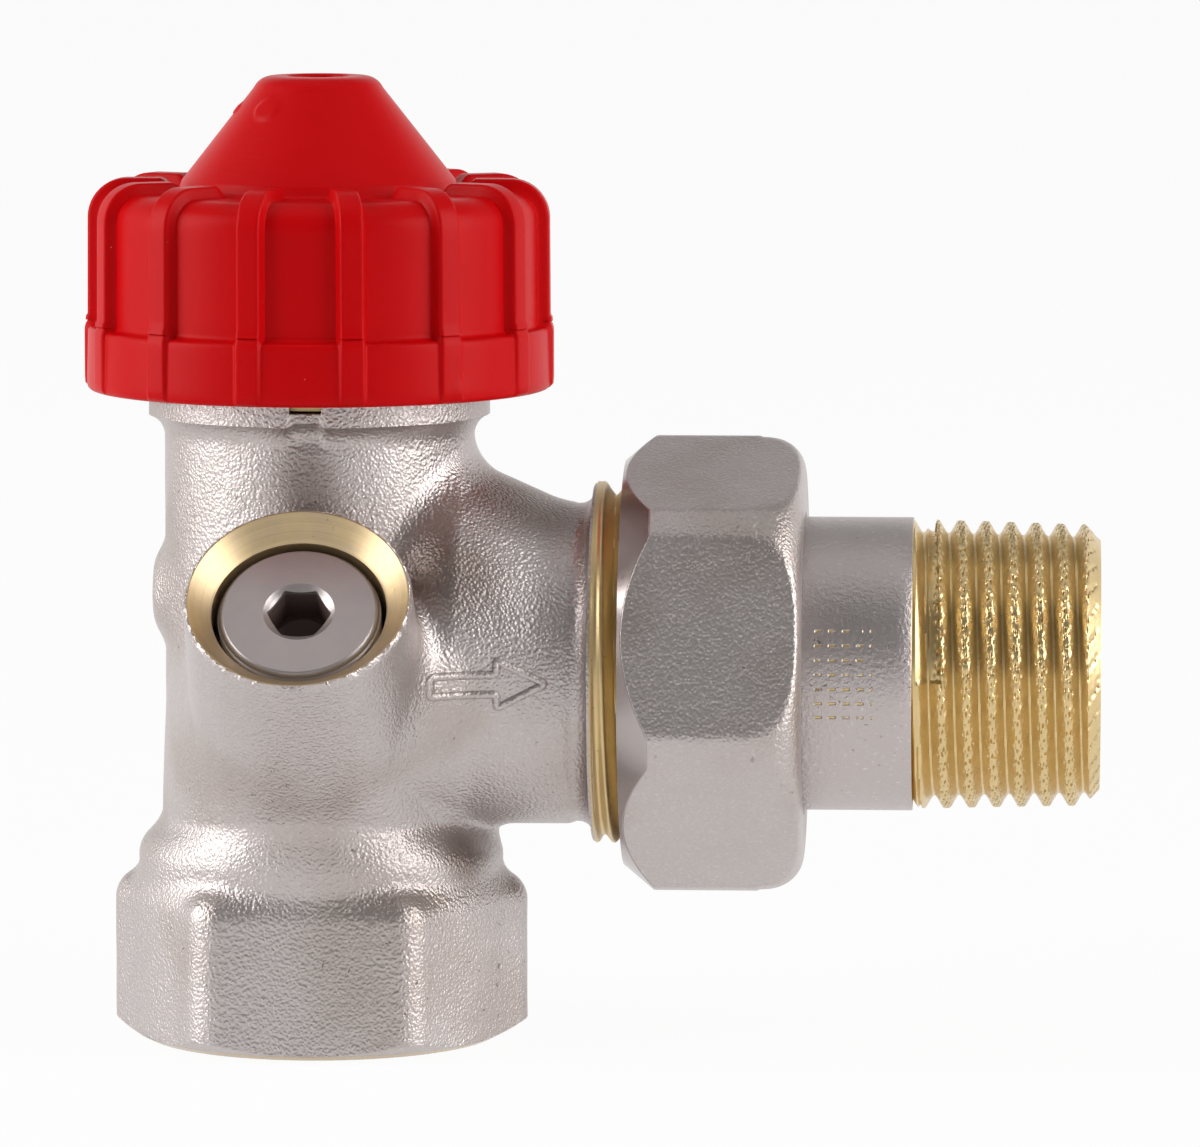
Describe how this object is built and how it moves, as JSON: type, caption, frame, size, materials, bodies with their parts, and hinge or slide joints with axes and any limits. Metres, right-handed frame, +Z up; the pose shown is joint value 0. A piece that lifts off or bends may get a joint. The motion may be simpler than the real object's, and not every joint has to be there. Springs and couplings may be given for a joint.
{
  "type": "flow control valve",
  "caption": "Angle flow control valve with a ribbed hand cap, a slanting regulating port with a hexagon socket, and a union nut with a threaded tailpiece.",
  "frame": {"origin": "centre of the inlet mouth, on the valve axis at the foot's lower face", "axes": "+Z up the inlet and valve axis, +X out along the outlet, -Y towards the side the regulating port leans to"},
  "size_m": [0.0742, 0.0419, 0.0703],
  "materials": {
    "nickel_plated_brass": "shot-blasted, nickel plated",
    "brass": "machined",
    "steel": "bright",
    "white_plastic": "moulded",
    "red_plastic": "glossy moulded",
    "rubber": "matt",
    "felt": "felt"
  },
  "bodies": {
    "body": {"valve_body": "nickel_plated_brass", "insert_housing": "brass", "insert_o_ring": "rubber", "dust_ring": "felt"},
    "barrel": {"presetting_barrel": "white_plastic", "barrel_o_ring": "rubber", "gland_nut": "brass", "gland_o_ring": "rubber", "return_spring": "steel"},
    "pin": {"operating_pin": "steel", "spring_plate": "steel", "pin_clip": "steel", "disc_carrier": "brass", "disc_seal": "rubber", "disc_nut": "brass"},
    "cap_carriage": {"cap_thrust_pad": "white_plastic"},
    "cap": {"protective_cap": "red_plastic"},
    "tail": {"tailpiece": "nickel_plated_brass", "tailpiece_o_ring": "rubber", "nut_slip_washer": "steel"},
    "nut": {"union_nut": "nickel_plated_brass"},
    "spindle_carriage": {"spindle_o_ring": "rubber", "spindle_backup_ring": "white_plastic"},
    "spindle": {"regulating_spindle": "nickel_plated_brass"}
  },
  "joints": [
    {"name": "preset_turn", "type": "hinge", "parent": "body", "child": "barrel", "pos_m": [0, 0, 0.05], "axis": [0, 0, 1], "range_deg": [-90, 90]},
    {"name": "pin_stroke", "type": "slide", "parent": "barrel", "child": "pin", "axis": [0, 0, -1], "range_m": [0, 0.0028], "stiffness_N_per_m": 1500, "springref_m": -0.01, "deforming": ["return_spring"]},
    {"name": "cap_travel", "type": "slide", "parent": "body", "child": "cap_carriage", "axis": [0, 0, 1], "range_m": [0, 0.006]},
    {"name": "cap_turn", "type": "hinge", "parent": "cap_carriage", "child": "cap", "pos_m": [0, 0, 0.055], "axis": [0, 0, 1], "range_deg": [0, 1440]},
    {"name": "tail_travel", "type": "slide", "parent": "body", "child": "tail", "axis": [1, 0, 0], "range_m": [0, 0.00544]},
    {"name": "nut_turn", "type": "hinge", "parent": "tail", "child": "nut", "pos_m": [0.029, 0, 0.0275], "axis": [1, 0, 0], "range_deg": [0, 1080]},
    {"name": "spindle_travel", "type": "slide", "parent": "body", "child": "spindle_carriage", "axis": [0, -0.7071, 0.7071], "range_m": [-0.0015, 0]},
    {"name": "spindle_turn", "type": "hinge", "parent": "spindle_carriage", "child": "spindle", "pos_m": [0, -0.01556, 0.03076], "axis": [0, -0.7071, 0.7071], "range_deg": [-540, 0]}
  ],
  "couplings": [
    {"joint": "cap_turn", "follows": "cap_travel", "rad_per_m": 4188.8},
    {"joint": "nut_turn", "follows": "tail_travel", "rad_per_m": 3463.7},
    {"joint": "spindle_turn", "follows": "spindle_travel", "rad_per_m": 6283.2}
  ]
}
